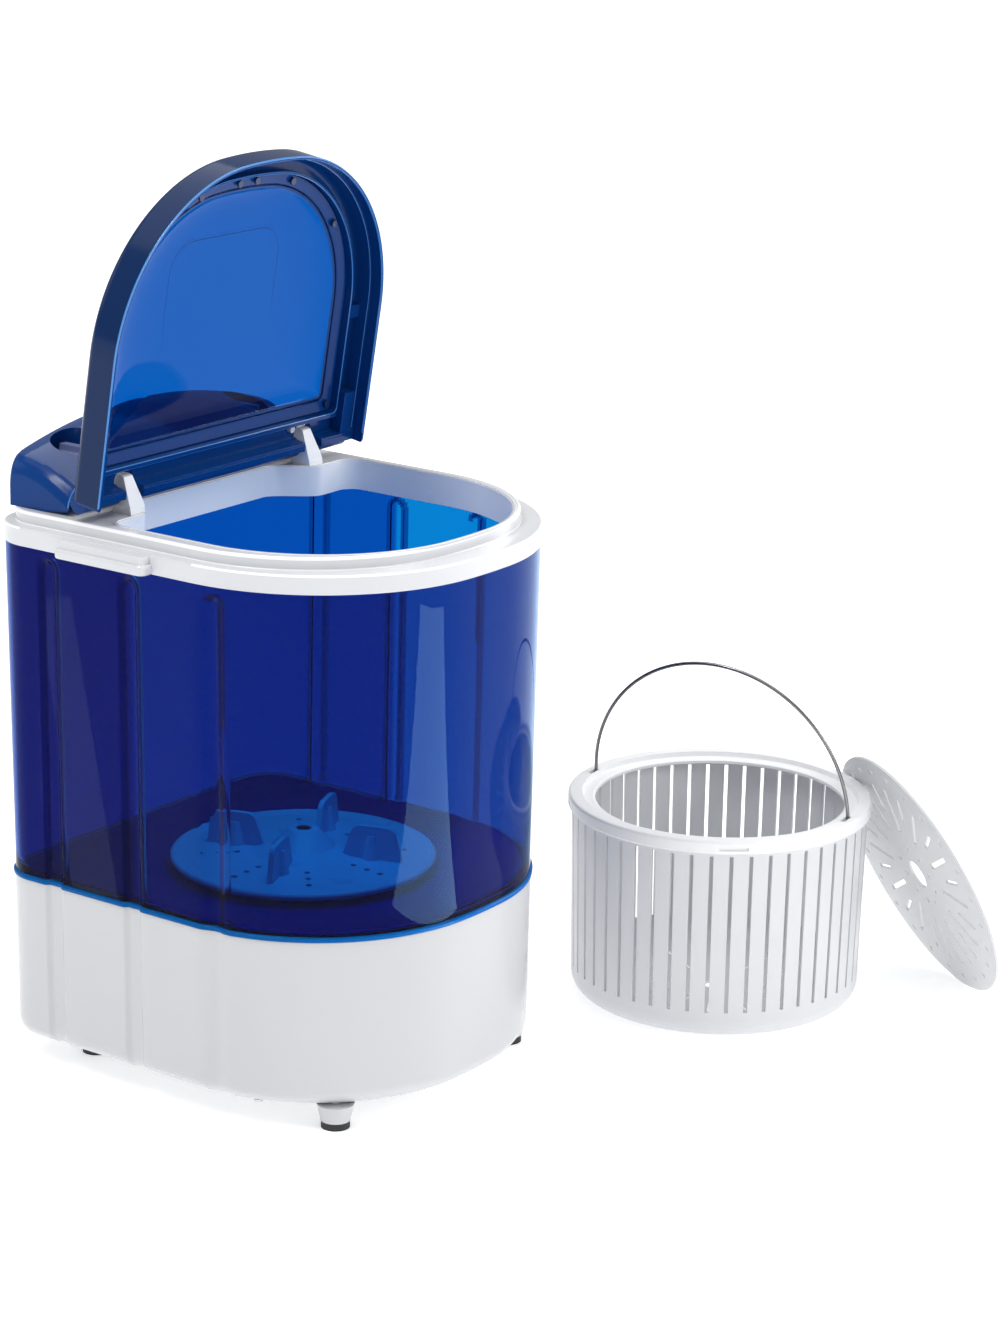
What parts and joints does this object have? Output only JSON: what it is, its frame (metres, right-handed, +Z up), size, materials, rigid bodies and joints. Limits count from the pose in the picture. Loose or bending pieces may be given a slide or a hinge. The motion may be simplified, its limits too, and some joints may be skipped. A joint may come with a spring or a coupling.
{
  "type": "portable washing machine",
  "caption": "Compact top-loading washing machine with a clear blue tub, white base and raised domed lid, beside its slotted basket with wire bail and a perforated cover disc.",
  "frame": {"origin": "on the floor, under the middle of the whole set's bounding box", "axes": "+Z up; the machine's bowed front faces -Y, its control panel is at +Y; the basket and disc stand at +X"},
  "size_m": [0.6876, 0.6318, 0.731],
  "materials": {
    "white": "white moulded plastic, soft gloss",
    "grey_white": "grey-white moulded plastic",
    "tub_blue": "clear dark-blue plastic",
    "navy": "dark-blue plastic, high gloss",
    "azure": "clear light-blue plastic",
    "blue": "blue plastic",
    "rubber": "black rubber",
    "steel": "drawn steel",
    "zinc": "zinc-plated sheet and castings",
    "switch_case": "natural plastic",
    "pulley": "black filled plastic",
    "drain_black": "black plastic",
    "capacitor": "pale plastic can"
  },
  "bodies": {
    "machine": {"base_shell": "white", "bottom_plate": "white", "back_panel": "white", "back_screws": "steel", "feet": "white", "foot_pads": "rubber", "tub": "tub_blue", "tub_floor": "tub_blue", "top_frame": "white", "control_panel": "navy", "panel_screws": "steel", "timer_switch": "switch_case", "selector_switch": "switch_case", "bearing_housing": "zinc", "shaft_seal": "rubber", "drive_plate": "zinc", "plate_screws": "steel", "motor_stator": "zinc", "motor_end_bells": "zinc", "drive_belt": "rubber", "capacitor": "capacitor", "drain_pipe": "drain_black", "cord_bush": "rubber", "base_screws": "steel"},
    "lid": {"lid_frame": "navy", "lid_window": "azure", "lid_pins": "steel", "lid_screws": "steel", "lid_plunger": "white"},
    "timer_dial": {"timer_knob": "white"},
    "selector_dial": {"selector_knob": "white"},
    "agitator": {"pulsator": "blue", "pulsator_screw": "steel", "drive_shaft": "steel", "large_pulley": "pulley"},
    "rotor": {"motor_rotor": "steel", "motor_pulley": "pulley"},
    "basket": {"basket_body": "white", "basket_rim": "white"},
    "handle": {"bail": "steel"},
    "disc": {"cover_disc": "grey_white"}
  },
  "joints": [
    {"name": "lid_hinge", "type": "hinge", "parent": "machine", "child": "lid", "pos_m": [-0.16031, 0.20793, 0.474], "axis": [1, 0, 0], "range_deg": [-22, 81]},
    {"name": "timer_turn", "type": "hinge", "parent": "machine", "child": "timer_dial", "pos_m": [-0.26431, 0.26293, 0.495], "axis": [0, 0, 1], "range_deg": [-300, 0]},
    {"name": "selector_turn", "type": "hinge", "parent": "machine", "child": "selector_dial", "pos_m": [-0.05631, 0.26293, 0.495], "axis": [0, 0, 1], "range_deg": [-90, 0]},
    {"name": "agitator_spin", "type": "hinge", "parent": "machine", "child": "agitator", "pos_m": [-0.16031, 0.11393, 0.12], "axis": [0, 0, 1], "continuous": true},
    {"name": "rotor_spin", "type": "hinge", "parent": "machine", "child": "rotor", "pos_m": [-0.26557, 0.07567, 0.11], "axis": [0, 0, 1], "continuous": true},
    {"name": "basket_lift", "type": "slide", "parent": "machine", "child": "basket", "axis": [0, 0, 1], "range_m": [0, 0.3]},
    {"name": "bail_swing", "type": "hinge", "parent": "basket", "child": "handle", "pos_m": [0.16369, -0.07807, 0.173], "axis": [0.108, -0.9942, 0], "range_deg": [-18, 62]},
    {"name": "disc_away", "type": "slide", "parent": "basket", "child": "disc", "axis": [0.7713, -0.4801, 0.4179], "range_m": [0, 0.15]}
  ],
  "couplings": [
    {"joint": "rotor_spin", "follows": "agitator_spin", "ratio": 6.0962}
  ]
}
